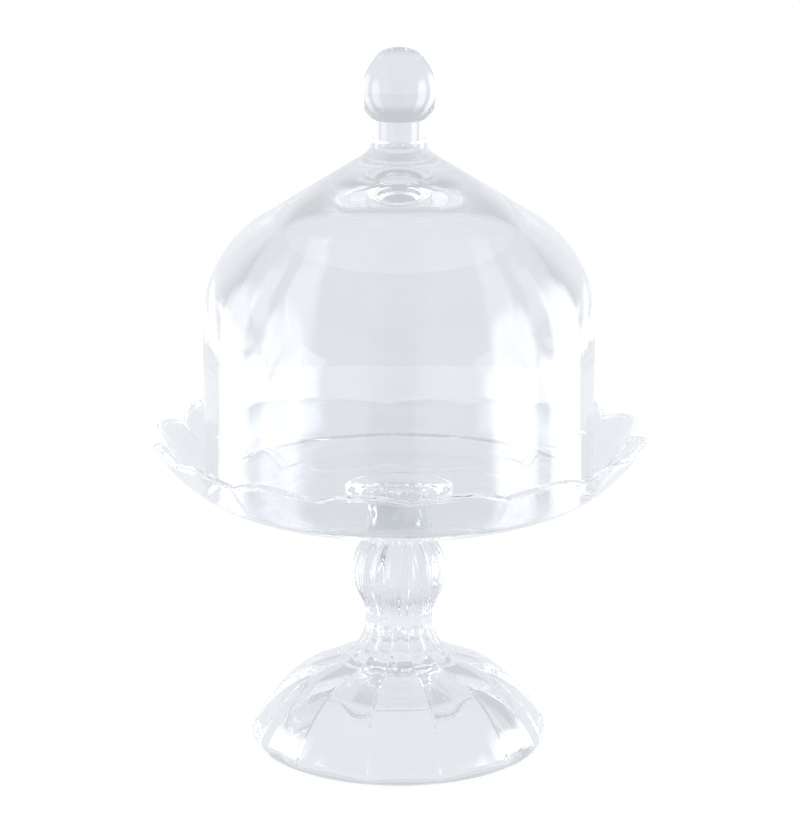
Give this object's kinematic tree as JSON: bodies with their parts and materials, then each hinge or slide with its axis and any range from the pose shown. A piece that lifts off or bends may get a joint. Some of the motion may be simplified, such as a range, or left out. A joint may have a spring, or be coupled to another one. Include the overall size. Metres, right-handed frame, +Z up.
{
  "type": "cake stand with dome",
  "caption": "Clear glass pedestal cake stand: scalloped plate on a fluted stem and hollow lobed foot, with a lift-off glass dome and ball knob.",
  "frame": {"origin": "centre of the foot's base ring, on the surface that the stand rests on", "axes": "+Z up along the axis of the stem and dome; -Y is the side the reference view faces, +X to its right"},
  "size_m": [0.1638, 0.1638, 0.2344],
  "materials": {
    "stand_glass": "clear pressed glass",
    "cover_glass": "clear blown glass"
  },
  "bodies": {
    "stand": {"foot": "stand_glass", "stem": "stand_glass", "plate": "stand_glass"},
    "cover": {"dome": "cover_glass", "knob": "cover_glass"}
  },
  "joints": [
    {"name": "cover_lift", "type": "slide", "parent": "stand", "child": "cover", "axis": [0, 0, 1], "range_m": [0, 0.15]}
  ]
}
